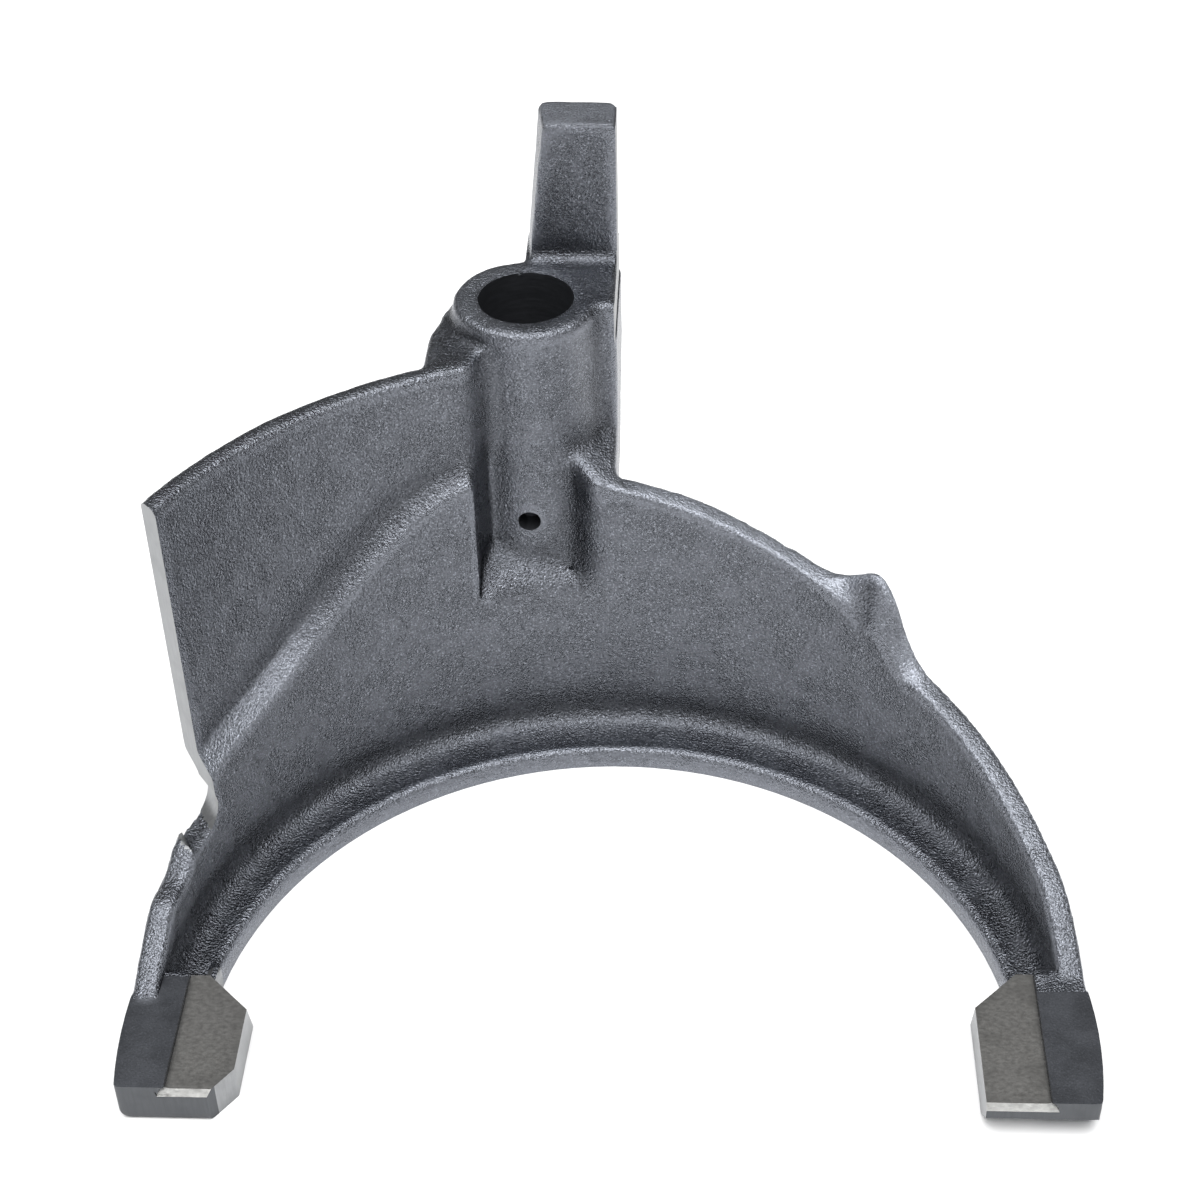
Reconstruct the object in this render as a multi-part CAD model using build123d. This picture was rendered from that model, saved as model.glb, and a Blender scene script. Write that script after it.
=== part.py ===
from build123d import *
from math import cos, hypot, pi, radians, sin, sqrt
import os

# Transmission shift fork, one steel casting with machined faces.
# Millimetres. The origin is on the sleeve axis in the plane of the underside,
# +Z runs along the shift rail, and the fork is open towards -Y.

# The arc that straddles the sliding sleeve
sleeve_radius = 80.0
flange_height = 4.3
flange_width = 8.7
bead_height = 5.5
bead_width = 4.0
bead_round = 1.3

# The curved web, struck from its own centre a little behind the sleeve axis
web_centre_y = 3.4
web_inner_radius = sleeve_radius + flange_width
web_thickness = 5.2
web_foot_fillet = 4.5
web_edge_round = 1.2
underside_round = 2.0

# The set-back panel on the left, above the step in the web
panel_setback = 4.2
panel_thickness = 4.8
panel_height = 98.6
panel_end_azimuth = 154.1
panel_end_turn = -21.0
step_rise = 5.0
joggle_drop = 7.0
joggle_fillet = 3.0
joggle_back_round = 2.0
joggle_rounded_from = 30.0
back_rounded_from = 60.0
panel_top_round = 1.5

# The round relief cut under the machined end of the panel
relief_radius = 5.6
relief_height = 27.0
relief_azimuth = 153.7
relief_turn = -34.5
milling_reach = 60.0

# The hub on the shift rail, which stands behind the web
web_front_y = web_centre_y + web_inner_radius
hub_x = -19.65
hub_setback = 19.8
hub_y = web_front_y + hub_setback
hub_radius = 15.25
hub_top = 103.0
hub_bottom = 34.0
hub_rim_round = 1.6
rail_radius = 10.0
rail_chamfer = 0.5
pin_radius = 2.45
pin_height = 56.3

# The saddle that joins the hub to the web and to the panel, its left side from the rail's axis
saddle_left = [(-22.25, -25.9), (-20.15, -18.4), (-20.05, -7.4), (-18.15, -1.4), (-15.95, 3.6)]
saddle_joint = 72.0
saddle_overlap = 0.5
saddle_round = 1.2
saddle_hub_fillet = 2.5
ledge_rise = 0.28
ledge_reach = 30.0
underside_foot = 40.0
underside_back = 78.0

# The pocket in the web that bares the front of the hub, its corners from the rail's axis
pocket_left_web = (-10.55, -25.1)
pocket_left_bend = (-10.35, -19.9)
pocket_left_hub = (-7.75, -12.7)
pocket_right_web = (14.15, -20.0)
pocket_right_hub = (8.05, -12.6)
pocket_run_out = 8.0
pocket_floor_x = -0.35
pocket_floor_top = 47.5
pocket_floor_foot = 41.0
pocket_floor_run = 7.95
pocket_floor_tilt = 15.0
pocket_floor_fillet = 2.0
pocket_left_fillet = 1.5
pocket_right_fillet = 3.0
pocket_right_round = 3.0
panel_corner = (-10.35, -20.7)
panel_corner_start = (-13.35, -21.8)
panel_corner_end = (-9.25, -16.9)
panel_corner_round = 2.0

# The block beside the hub, its milled side and the driving lug
block_reach = 3.0
block_front_y = hub_y - block_reach
block_corner_fillet = 2.0
block_width = 18.85
cast_side_x = hub_x + block_width
milling_allowance = 0.4
milled_side_x = cast_side_x - milling_allowance
milled_side_foot = 94.0
lug_setback = 15.6
lug_front_y = hub_y + lug_setback
lug_depth = 11.1
lug_height = 31.1
lug_front_width = 14.8
lug_back_width = 16.4
lug_front_foot_width = 18.6
lug_back_foot_width = 19.6
lug_foot_fillet = 2.5
lug_root = 3.0
lug_corner_round = 2.0
lug_edge_round = 0.8

# The arms and their wear faces
left_tip_y = -19.9
right_tip_y = -19.4
arm_height = 9.5
web_outer_radius = web_inner_radius + web_thickness
left_tip_inset = 0.9
right_tip_inset = 1.1
arm_bow = 0.4
arm_bow_y = -4.0
arm_straight_to_y = 6.0
ring_end_y = -3.0
tip_corner_round = 1.0
left_pad_reach = 8.9
right_pad_reach = 8.5
pad_width_outside = 3.6
pad_outer_x = sleeve_radius + pad_width_outside
pad_face_height = 8.0
pad_slant_x = 9.2
pad_rear_lean = 3.0
pad_front_chamfer = 1.1
pad_chamfer_run_out = 1.4
chamfer_end_radius = 1.8
left_pad_end_y = 9.4
left_pad_slant_y = 9.0
right_pad_end_y = 13.4
right_pad_slant_y = 9.2
left_corner_cut_x = 4.4
left_corner_cut_y = 6.0
right_tip_bevel = 4.8

# Top edge of the web as (azimuth, height), from the hub round to the ear
hub_to_ear = [
    (108.0, 90.4),
    (98.0, 77.0),
    (95.6, 72.0),
    (93.4, 70.1),
    (91.0, 68.7),
    (88.0, 67.3),
    (81.7, 64.4),
    (76.6, 61.6),
    (68.6, 56.5),
    (64.0, 53.6),
]
# The cast ear that stands up from the edge
ear = [
    (61.3, 52.4),
    (59.3, 52.7),
    (57.2, 54.3),
    (55.6, 55.7),
    (54.2, 55.9),
    (53.1, 54.4),
    (50.4, 46.3),
    (48.6, 40.8),
    (46.8, 37.5),
]
# From the ear down to the right arm
ear_to_arm = [
    (43.5, 35.3),
    (36.0, 31.2),
    (27.4, 25.7),
    (19.0, 21.0),
    (15.0, 19.0),
    (11.6, 16.2),
    (8.5, 13.0),
    (4.5, arm_height - 0.2),
    (0.0, arm_height - 0.8),
    (-8.0, arm_height - 0.8),
]
# Front edge of the ledge between the web and the block
ledge_line = [(103.0, 71.6), (97.0, 71.4), (93.4, 70.1), (91.0, 68.7), (88.0, 67.3), (84.0, 65.4)]
# Step in the web from the hub to the end of the panel, at the web's inner face
left_step = [
    (100.0, 72.0),
    (113.5, 70.6),
    (119.5, 65.5),
    (131.0, 51.5),
    (141.0, 41.0),
    (152.0, 35.0),
    (158.0, 33.0),
]
# Top edge of the left arm, below the relief
left_edge = [
    (159.8, 24.5),
    (161.8, 23.0),
    (163.7, 21.1),
    (165.5, 18.9),
    (170.0, 18.3),
    (173.3, 15.4),
    (176.7, 12.6),
    (180.0, arm_height + 0.8),
    (183.0, arm_height - 0.4),
    (188.0, arm_height - 0.8),
]

panel_inner_radius = web_inner_radius + panel_setback
panel_outer_radius = panel_inner_radius + panel_thickness
cut_margin = 6.0
tall = 150.0


def on_web(radius, azimuth, height):
    """Point on a circle about the web's centre."""
    angle = radians(azimuth)
    return Vector(radius * cos(angle), web_centre_y + radius * sin(angle), height)


def by_hub(point):
    """Plan point that is given from the rail's axis."""
    return (hub_x + point[0], hub_y + point[1])


def web_axis():
    """Upright axis through the web's centre."""
    return Axis((0, web_centre_y, 0), (0, 0, 1))


def ring(inner, outer, bottom, top):
    """Plain ring about the web's centre."""
    height = top - bottom
    place = Pos(0, web_centre_y, bottom)
    up = (Align.CENTER, Align.CENTER, Align.MIN)
    return place * (Cylinder(outer, height, align=up) - Cylinder(inner, height, align=up))


def above_edge(inner_line, outer_line, inner, outer):
    """Everything above the ruled surface between two edge lines round the web."""
    low = Edge.make_spline([on_web(inner, a, z) for a, z in inner_line])
    high = Edge.make_spline([on_web(outer, a, z) for a, z in outer_line])
    surface = Face.make_surface_from_curves(low, high)
    return Solid.extrude(surface, Vector(0, 0, tall))


def above_level_edge(line):
    """Everything above an edge line that is as high on both sides of the web."""
    return above_edge(line, line, web_inner_radius - cut_margin, panel_outer_radius + cut_margin)


def above_step(drop):
    """Everything above the sloping ledge of the step, lowered by a drop."""
    slope = step_rise / web_thickness
    outer = panel_outer_radius + cut_margin
    inner_line = [(a, z - drop - slope * cut_margin) for a, z in left_step]
    outer_line = [(a, z - drop + slope * (outer - web_inner_radius)) for a, z in left_step]
    return above_edge(inner_line, outer_line, web_inner_radius - cut_margin, outer)


def web_and_flange():
    """Flange, foot fillet and upright web, turned as one profile."""
    top = hub_top
    foot = flange_height + web_foot_fillet
    inside = sleeve_radius - 2 * web_centre_y
    bow = web_foot_fillet * sqrt(0.5)
    corner = underside_round * sqrt(0.5)
    with BuildSketch(Plane.XZ) as section:
        with BuildLine():
            Polyline(
                (web_outer_radius, underside_round),
                (web_outer_radius, top),
                (web_inner_radius, top),
                (web_inner_radius, foot),
            )
            ThreePointArc(
                (web_inner_radius, foot),
                (web_inner_radius - web_foot_fillet + bow, foot - bow),
                (web_inner_radius - web_foot_fillet, flange_height),
            )
            Polyline(
                (web_inner_radius - web_foot_fillet, flange_height),
                (inside, flange_height),
                (inside, 0),
                (web_outer_radius - underside_round, 0),
            )
            ThreePointArc(
                (web_outer_radius - underside_round, 0),
                (web_outer_radius - underside_round + corner, underside_round - corner),
                (web_outer_radius, underside_round),
            )
        make_face()
    body = revolve(Pos(0, web_centre_y, 0) * section.sketch, web_axis())
    return body - Cylinder(sleeve_radius, 3 * tall)


def bead():
    """Raised rim along the inner edge of the flange."""
    reach = sleeve_radius + bead_width
    bow = bead_round * sqrt(0.5)
    with BuildSketch(Plane.XZ) as section:
        with BuildLine():
            Polyline(
                (sleeve_radius + bead_round, bead_height),
                (reach, flange_height - bead_round),
                (reach, 0),
                (sleeve_radius, 0),
                (sleeve_radius, bead_height - bead_round),
            )
            ThreePointArc(
                (sleeve_radius, bead_height - bead_round),
                (sleeve_radius + bead_round - bow, bead_height - bead_round + bow),
                (sleeve_radius + bead_round, bead_height),
            )
        make_face()
    return revolve(section.sketch, Axis.Z)


def panel():
    """Thinner wall set back from the web, joined to it by the joggle behind the step."""
    wall = ring(panel_inner_radius, panel_outer_radius, 0, panel_height)
    return wall & above_step(joggle_drop)


def end_plane(radius, azimuth, turn):
    """Upright plane across the web, its X turned from radial and its Y clear of the panel."""
    heading = radians(azimuth + turn)
    corner = on_web(radius, azimuth, 0)
    return Plane(origin=corner, x_dir=(cos(heading), sin(heading), 0), z_dir=(0, 0, 1))


def panel_end_cut():
    """Milling cut of the panel's end and the round relief at its foot."""
    low = (Align.CENTER, Align.MIN, Align.MIN)
    mill = Pos(0, 0, relief_height) * Box(milling_reach, milling_reach, tall, align=low)
    face = end_plane(panel_outer_radius, panel_end_azimuth, panel_end_turn)
    cutter = Rot(0, 90, 0) * Cylinder(relief_radius, milling_reach)
    cutter += Pos(0, 0, -relief_radius) * Box(milling_reach, relief_radius / 2, tall, align=low)
    relief = end_plane(web_outer_radius, relief_azimuth, relief_turn)
    return face * mill + relief * Pos(0, relief_radius, relief_height) * cutter


def above_underside():
    """Everything above the underside that slopes up from the web to the back of the lug."""
    back = lug_front_y + lug_depth
    side = Polyline(
        (web_front_y, underside_foot),
        (back, underside_back),
        (back, tall),
        (0, tall),
        (0, underside_foot),
        close=True,
    )
    return extrude(Plane.YZ * make_face(side), tall, both=True)


def above_ledge():
    """Everything above the ledge that climbs from the web's top edge back to the block."""
    start = web_inner_radius + web_edge_round
    inner_line = [(a, z - ledge_rise * cut_margin) for a, z in ledge_line]
    outer_line = [(a, z + ledge_rise * ledge_reach) for a, z in ledge_line]
    return above_edge(inner_line, outer_line, start - cut_margin, start + ledge_reach)


def hub_collar():
    """Concave sweep from the level of the panel's top up to the hub's flank."""
    foot = hub_radius + saddle_hub_fillet
    high = panel_height + saddle_hub_fillet
    bow = saddle_hub_fillet * (1 - sqrt(0.5))
    with BuildSketch(Plane.XZ) as section:
        with BuildLine():
            ThreePointArc(
                (foot, panel_height),
                (hub_radius + bow, panel_height + bow),
                (hub_radius, high),
            )
            Polyline(
                (hub_radius, high),
                (rail_radius, high),
                (rail_radius, panel_height - 1),
                (foot, panel_height - 1),
                (foot, panel_height),
            )
        make_face()
    return Pos(hub_x, hub_y, 0) * revolve(section.sketch, Axis.Z)


def saddle():
    """Solid between the web and the hub, level with the panel on the left and a ledge on the right."""
    side = [by_hub(point) for point in saddle_left]
    left = make_face(Polyline(*side, (hub_x, hub_y), (hub_x, web_front_y), close=True))
    level = extrude(left, panel_height)
    top = [e for e in level.edges() if (e @ 0.5).Z > panel_height - 1]
    level = fillet([e for e in top if (e @ 0.5).X < hub_x - 0.9 * hub_radius], saddle_round)
    level += hub_collar() & extrude(left, tall)
    behind_panel = ring(panel_inner_radius + panel_top_round, 2 * web_outer_radius, 0, tall)
    behind_web = ring(web_outer_radius - saddle_overlap, 2 * web_outer_radius, 0, saddle_joint)
    level &= behind_panel + behind_web
    right = Polyline(
        (hub_x, hub_y),
        (cast_side_x, hub_y),
        (cast_side_x, web_front_y - cut_margin),
        (hub_x, web_front_y - cut_margin),
        close=True,
    )
    ledge = extrude(make_face(right), panel_height)
    ledge &= ring(web_inner_radius + web_edge_round, 2 * web_outer_radius, 0, tall)
    return (level + (ledge - above_ledge())) & above_underside()


def pocket_plan():
    """Plan of the pocket, with the web's edge rounded on the right."""
    front = hub_y - 2 * hub_setback
    left = by_hub(pocket_left_web)
    right = by_hub(pocket_right_web)
    run_out = right[0] + pocket_run_out
    outline = Polyline(
        (left[0], front),
        left,
        by_hub(pocket_left_bend),
        by_hub(pocket_left_hub),
        (hub_x, hub_y),
        by_hub(pocket_right_hub),
        right,
        (run_out, web_front_y - 0.1),
        (run_out, front),
        close=True,
    )
    plan = make_face(outline)
    corner = plan.vertices().sort_by_distance((*right, 0))[0]
    return fillet(corner, pocket_right_round)


def above_pocket_floor():
    """Everything above the floor that slopes from the web's face up to the hub."""
    back = hub_y - hub_radius
    front = back - pocket_floor_run
    slope = (pocket_floor_top - pocket_floor_foot) / pocket_floor_run
    reach = 3 * cut_margin
    floor = Polyline(
        (front - reach, pocket_floor_foot - slope * reach),
        (back + reach, pocket_floor_top + slope * reach),
        (back + reach, tall),
        (front - reach, tall),
        close=True,
    )
    above = extrude(Plane.YZ * make_face(floor), tall, both=True)
    turn = Pos(hub_x + pocket_floor_x, 0, pocket_floor_foot) * Rot(0, pocket_floor_tilt, 0)
    return turn * Pos(0, 0, -pocket_floor_foot) * above


def pocket():
    """Space cut through the web in front of the hub, down to the sloping floor."""
    space = extrude(pocket_plan(), tall) & above_pocket_floor()
    space -= Pos(hub_x, hub_y, 0) * Cylinder(hub_radius, 3 * tall)
    space = fillet(hub_edges(space, hub_radius / 2), pocket_right_fillet)
    space = fillet(hub_edges(space, -hub_radius / 2), pocket_left_fillet)
    return fillet(hub_edges(space, 0), pocket_floor_fillet)


def hub_edges(body, side):
    """Edges of the pocket on the hub's flank: the right one, the left one or the floor."""
    found = []
    for edge in body.edges():
        points = [edge @ 0, edge @ 0.3, edge @ 0.5, edge @ 1]
        on_hub = all(abs(hypot(p.X - hub_x, p.Y - hub_y) - hub_radius) < 0.05 for p in points)
        middle = points[2]
        if on_hub and middle.Z < tall - 1 and abs(middle.X - hub_x - side) < hub_radius / 3:
            found.append(edge)
    return found


def panel_corner_cut():
    """Space that rounds the panel's edge where it turns back to the hub."""
    start = by_hub(panel_corner_start)
    turn = by_hub(panel_corner)
    end = by_hub(panel_corner_end)
    front = start[1] - cut_margin
    outline = Polyline(
        (start[0], front),
        start,
        turn,
        end,
        (hub_x, end[1]),
        (hub_x, front),
        close=True,
    )
    plan = make_face(outline)
    corner = plan.vertices().sort_by_distance((*turn, 0))[0]
    return extrude(fillet(corner, panel_corner_round), tall) & above_step(-step_rise)


def hub():
    """Upright boss for the rail."""
    up = (Align.CENTER, Align.CENTER, Align.MIN)
    return Pos(hub_x, hub_y, hub_bottom) * Cylinder(hub_radius, hub_top - hub_bottom, align=up)


def side_block():
    """Solid block beside and behind the hub, which carries the lug."""
    back = lug_front_y + lug_depth
    plan = Polyline(
        (hub_x, block_front_y),
        (cast_side_x, block_front_y),
        (cast_side_x, back),
        (milled_side_x - lug_back_foot_width, back),
        (milled_side_x - lug_back_foot_width, hub_y),
        close=True,
    )
    column = extrude(make_face(plan), hub_top) & above_underside()
    mill = Pos(milled_side_x, 0, milled_side_foot) * Box(
        tall, 2 * tall, tall, align=(Align.MIN, Align.CENTER, Align.MIN)
    )
    return column - mill


def lug_section(y, width, foot_width):
    """Upright section of the lug at one depth."""
    high = hub_top + lug_height
    left = milled_side_x - foot_width
    root = left - lug_root * (foot_width - width) / lug_height
    outline = Polyline(
        (root, hub_top - lug_root),
        (milled_side_x - width, high),
        (milled_side_x, high),
        (milled_side_x, hub_top - lug_root),
        close=True,
    )
    return Plane.XZ.offset(-y) * make_face(outline)


def lug():
    """Driving lug that stands on the block and widens to the back."""
    front = lug_section(lug_front_y, lug_front_width, lug_front_foot_width)
    back = lug_section(lug_front_y + lug_depth, lug_back_width, lug_back_foot_width)
    body = loft([front, back], ruled=True)
    corners = [e for e in body.edges() if abs((e @ 0).Z - (e @ 1).Z) > lug_root]
    body = fillet([e for e in corners if (e @ 0.5).Y > lug_front_y + 1], lug_corner_round)
    top = body.faces().sort_by(Axis.Z)[-1].edges()
    return fillet([e for e in top if (e @ 0.5).Y < lug_front_y + 1], lug_edge_round)


def arm_plan(side, height, lean):
    """Plan of one arm's tip at a height, from the wear pad out to the curve of the ring."""
    square = sqrt(web_outer_radius**2 - (arm_straight_to_y - web_centre_y) ** 2)
    end_y = right_pad_end_y if side > 0 else left_pad_end_y
    slant_y = right_pad_slant_y if side > 0 else left_pad_slant_y
    tip_x = web_outer_radius - (right_tip_inset if side > 0 else left_tip_inset)
    pad_x = sleeve_radius - (right_pad_reach if side > 0 else left_pad_reach)
    tip_y = right_tip_y if side > 0 else left_tip_y
    bow_x = web_outer_radius + arm_bow
    behind = sqrt(web_outer_radius**2 - (end_y - web_centre_y) ** 2) - 0.5
    front = [(pad_x, tip_y)]
    if side < 0:
        front = [
            (pad_x, tip_y + left_corner_cut_y),
            (pad_x + left_corner_cut_x, tip_y),
        ]
    with BuildSketch(Plane.XY.offset(height)) as plan:
        with BuildLine():
            bow = ThreePointArc((tip_x, tip_y), (bow_x, arm_bow_y), (square, arm_straight_to_y))
            Polyline(
                bow @ 1,
                (behind, end_y),
                (pad_x + pad_slant_x - lean, end_y),
                (pad_x, end_y - slant_y + lean * slant_y / pad_slant_x),
                *front,
                bow @ 0,
            )
        make_face()
    return plan.sketch if side > 0 else mirror(plan.sketch, about=Plane.YZ)


def front_strip(side):
    """Milled chamfer along the front of a wear face, ending in the cutter's radius."""
    tip_y = right_tip_y if side > 0 else left_tip_y
    low = pad_face_height - pad_front_chamfer
    slope = Plane(origin=(0, tip_y, low), x_dir=(1, 0, 0), z_dir=(0, -1, 1))
    straight = side * (pad_outer_x + pad_chamfer_run_out - chamfer_end_radius)
    flat = Pos(straight / 2, 0, 0) * Box(
        abs(straight), 2 * cut_margin, 2 * cut_margin, align=(Align.CENTER, Align.CENTER, Align.MIN)
    )
    up = (Align.CENTER, Align.CENTER, Align.MIN)
    end = Pos(straight, 0, 0) * Cylinder(chamfer_end_radius, 2 * cut_margin, align=up)
    return slope * (flat + end)


def arm(side):
    """Tip of one arm: outer strip, and the wear pad that reaches in over the sleeve."""
    body = loft([arm_plan(side, 0, pad_rear_lean), arm_plan(side, arm_height, 0)], ruled=True)
    outside = [e for e in body.edges() if side * (e @ 0.5).X > pad_outer_x + 5]
    low = [e for e in outside if max((e @ 0).Z, (e @ 1).Z) < 1 and e.length > 2 * arm_height]
    body = fillet(low, underside_round)
    outside = [e for e in body.edges() if side * (e @ 0.5).X > pad_outer_x + 5]
    corner = [e for e in outside if (e @ 0.5).Y < left_tip_y + 1 and (e @ 0.5).Z > underside_round]
    body = fillet([e for e in corner if abs((e @ 0).Z - (e @ 1).Z) > 3], tip_corner_round)
    above = Box(2 * pad_outer_x, 2 * tall, tall, align=(Align.CENTER, Align.CENTER, Align.MIN))
    body -= Pos(0, 0, pad_face_height) * above
    return body - front_strip(side)


def right_underside_bevel():
    """Slope under the front of the right tip."""
    edge = Polyline(
        (right_tip_y - 1, right_tip_bevel + 1),
        (right_tip_y + right_tip_bevel + 1, -1),
        (right_tip_y - 1, -1),
        close=True,
    )
    return extrude(Plane.YZ * make_face(edge), tall)


def long_edges(body, radius, low, high=tall):
    """Long edges of a body that lie on a cylinder about the web's axis."""
    found = []
    for edge in body.edges():
        ends = [edge @ 0, edge @ 0.5, edge @ 1]
        on_radius = [abs(hypot(p.X, p.Y - web_centre_y) - radius) < 0.05 for p in ends]
        heights = [p.Z for p in ends]
        upright = abs(heights[0] - heights[2]) > 0.95 * edge.length
        if all(on_radius) and low < max(heights) < high and not upright and edge.length > 15:
            found.append(edge)
    return found


def web():
    """Upright web trimmed along its top edges, which are rounded all the way."""
    body = web_and_flange()
    body -= above_level_edge(hub_to_ear + ear + ear_to_arm)
    body -= above_step(0)
    body -= above_level_edge(left_edge)
    rims = long_edges(body, web_inner_radius, arm_height)
    rims += long_edges(body, web_outer_radius, arm_height)
    return fillet(rims, web_edge_round)


def in_front_of_ring():
    """Everything in front of the line where the ring ends and the arms' tips begin."""
    return Pos(0, ring_end_y - tall, 0) * Box(4 * tall, 2 * tall, 4 * tall)


def curved_wall():
    """Flange, bead, web and set-back panel, cut off where the arms' tips begin."""
    wall = web() + panel()
    wall -= panel_end_cut() + in_front_of_ring()
    below_top = panel_height - cut_margin
    joggle = long_edges(wall, panel_inner_radius, joggle_rounded_from, below_top)
    wall = fillet(joggle, joggle_fillet)
    for radius in (panel_inner_radius, panel_outer_radius):
        wall = fillet(long_edges(wall, radius, below_top, 2 * tall), panel_top_round)
    joggle_back = long_edges(wall, panel_outer_radius, joggle_rounded_from, below_top)
    wall = fillet(joggle_back, joggle_back_round)
    behind_step = long_edges(wall, web_outer_radius, back_rounded_from, below_top)
    wall = fillet(behind_step, joggle_fillet)
    return wall + bead() - in_front_of_ring()


def boss():
    """Hub, block, saddle and lug, with a rounded rim."""
    body = hub() + side_block()
    corner = [
        e
        for e in body.edges()
        if e.length > 20 and abs((e @ 0.5).Y - block_front_y) < 0.05 and (e @ 0.5).X < cast_side_x - 1
    ]
    body = fillet(corner, block_corner_fillet)
    rim = body.faces().sort_by(Axis.Z)[-1].outer_wire().edges()
    cast = [e for e in rim if e.center().Y < lug_front_y and e.center().X < milled_side_x - 1]
    body = fillet(cast, hub_rim_round) + lug()
    foot = [
        e
        for e in body.edges()
        if abs((e @ 0.5).Z - hub_top) < 0.05 and abs((e @ 0.5).Y - lug_front_y) < 0.05
    ]
    body = fillet(foot, lug_foot_fillet)
    front_left = [
        e
        for e in body.edges()
        if (e @ 0).Z > hub_top + 1
        and (e @ 1).Z > hub_top + 1
        and abs((e @ 0).Z - (e @ 1).Z) > lug_height / 2
        and abs((e @ 0.5).Y - lug_front_y) < 0.3
        and (e @ 0.5).X < milled_side_x - 1
    ]
    return fillet(front_left, lug_edge_round) + saddle()


def machining():
    """Rail bore and cross pin hole."""
    up = (Align.CENTER, Align.CENTER, Align.MIN)
    bore = Pos(hub_x, hub_y, 0) * Cylinder(rail_radius, tall, align=up)
    mouth = Cone(rail_radius, rail_radius + 2 * rail_chamfer, 2 * rail_chamfer, align=up)
    mouth = Pos(hub_x, hub_y, hub_top - rail_chamfer) * mouth
    reach = hub_radius + cut_margin
    pin = Pos(hub_x, hub_y, pin_height) * Rot(90, 0, 0) * Cylinder(pin_radius, 2 * reach)
    return bore + mouth + pin


def shift_fork():
    """The whole casting with its machined faces."""
    body = curved_wall() + boss() - pocket() - panel_corner_cut()
    body += arm(1) - right_underside_bevel()
    body += arm(-1)
    body -= machining()
    return body


fork = shift_fork()
os.makedirs("parts", exist_ok=True)
export_step(fork, "parts/shift_fork.step")
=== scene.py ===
"""Looks of a cast steel shift fork with milled and ground faces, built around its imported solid.

Lengths in the code are millimetres until a mesh is written, which is in metres.
The origin lies on the sleeve's axis in the plane of the underside, with +Z along the shift rail.
"""

import math

import bmesh
import bpy
import numpy as np
from bpy.props import FloatProperty, FloatVectorProperty, IntProperty, PointerProperty
from mathutils import Matrix, Vector


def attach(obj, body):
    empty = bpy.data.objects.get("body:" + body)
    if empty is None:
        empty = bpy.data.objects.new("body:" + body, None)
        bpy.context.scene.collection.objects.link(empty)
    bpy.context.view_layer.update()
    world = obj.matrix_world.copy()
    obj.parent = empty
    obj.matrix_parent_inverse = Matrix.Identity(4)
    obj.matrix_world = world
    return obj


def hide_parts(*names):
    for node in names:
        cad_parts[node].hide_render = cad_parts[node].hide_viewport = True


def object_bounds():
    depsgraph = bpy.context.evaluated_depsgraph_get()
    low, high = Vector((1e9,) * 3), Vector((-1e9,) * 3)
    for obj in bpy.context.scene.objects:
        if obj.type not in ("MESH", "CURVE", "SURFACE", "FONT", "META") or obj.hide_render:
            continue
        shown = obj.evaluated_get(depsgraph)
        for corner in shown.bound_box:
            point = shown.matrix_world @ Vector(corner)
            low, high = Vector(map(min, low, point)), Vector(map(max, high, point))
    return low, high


bl_info = {
    "name": "Cast shift fork",
    "version": (1, 0, 0),
    "blender": (4, 5, 0),
    "location": "3D View > Sidebar > Shift fork",
    "description": "Dresses the packed solid of a shift fork as a blasted casting with machined faces",
    "category": "Object",
}

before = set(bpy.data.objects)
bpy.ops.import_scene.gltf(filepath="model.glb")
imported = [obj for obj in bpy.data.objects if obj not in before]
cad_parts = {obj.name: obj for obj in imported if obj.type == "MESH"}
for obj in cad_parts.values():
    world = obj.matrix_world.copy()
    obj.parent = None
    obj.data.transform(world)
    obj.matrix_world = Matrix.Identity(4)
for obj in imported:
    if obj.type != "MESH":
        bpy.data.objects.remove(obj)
SOLID_BOX = [[float(c) for c in corner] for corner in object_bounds()]

MM = 0.001

# Centre and radii of the curved web
WEB_CENTRE_Y = 3.4
WEB_INNER = 88.7
WEB_OUTER = 93.9

# The hub, its rail bore, its cross pin hole and the step at the pocket's left
HUB = (-19.65, 111.9)
HUB_TOP = 103.0
HUB_BOTTOM = 34.0
RAIL_RADIUS = 10.0
RIM_DROP = 0.15
PIN_RADIUS = 2.45
PIN_HEIGHT = 56.3
PIN_FRONT_Y = 95.0
STEP_HEIGHT = 72.0

# Foot of the bevel on the front of the cast ear, as azimuth in degrees and drop from the top edge
EAR_BEVEL = [(44.5, 0.0), (47.0, 3.0), (51.7, 8.9), (55.0, 11.7), (58.4, 4.9), (60.5, 2.0), (63.0, 0.0)]
EAR_BEVEL_DEPTH = 3.8
EAR_FULL_DROP = 4.0
EAR_LEAST_DROP = 0.5
EAR_CELL_DEGREES = 0.75

# The arms with their strips, wear faces, inner sides and tips
ARM_INNER_X = 70.0
ARM_BACK_Y = 14.0
INNER_SIDE_X = 82.0
STRIP_HEIGHT = 9.5
STRIP_BACK_Y = 7.5
PAD_HEIGHT = 8.0
PAD_OUTER_X = 83.6
TIP_LEFT_Y = -19.9
TIP_RIGHT_Y = -19.4
TIP_DEPTH = 1.6

# The machined end of the panel and the relief at its foot
PANEL_OUTER = 97.7
END_AZIMUTH = 154.1
END_TURN = -21.0
RELIEF_RADIUS = 5.6
RELIEF_HEIGHT = 27.0
RELIEF_BELOW = 5.0
RELIEF_TOP = 35.0
RELIEF_INNER_X = -60.0
RELIEF_AZIMUTH = 153.7
RELIEF_TURN = -34.5

# The milled side of the block
MILLED_SIDE_X = -1.2
MILLED_SIDE_FRONT = 100.0
MILLED_SIDE_FOOT = 94.0

# How near a face's centre is to the plane or round that it lies on
NEAR_ROUND = 0.3
NEAR_PLANE = 0.2
NEAR_PANEL_END = 0.35
NEAR_PIN = 0.15

# Least share of a face's normal along the direction that it faces squarely, or faces in part
SQUARE = 0.9
PARTLY = 0.5

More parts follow.
